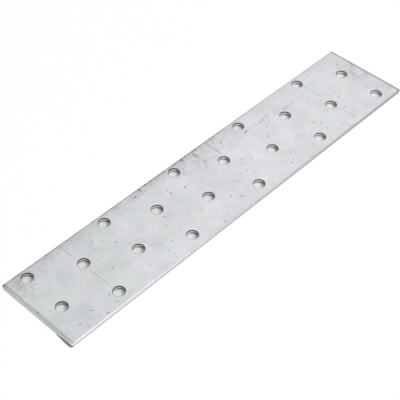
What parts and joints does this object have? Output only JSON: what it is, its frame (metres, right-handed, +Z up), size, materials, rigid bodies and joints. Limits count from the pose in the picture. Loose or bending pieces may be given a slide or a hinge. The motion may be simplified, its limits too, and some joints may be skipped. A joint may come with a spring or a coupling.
{
  "type": "mending plate",
  "caption": "Flat galvanised steel mending plate: a long thin strip with staggered rows of round nail holes, nailed across a timber joint.",
  "frame": {"origin": "on the underside, below the middle of the strip", "axes": "+X along the strip towards the end with the wider plain margin, +Y across it towards the edge that a row of holes is nearest to, +Z up out of the face that the punch entered"},
  "size_m": [0.1994, 0.04, 0.002],
  "materials": {
    "galvanised_steel": "satin"
  },
  "bodies": {
    "root": {"mending_plate": "galvanised_steel"}
  },
  "joints": []
}
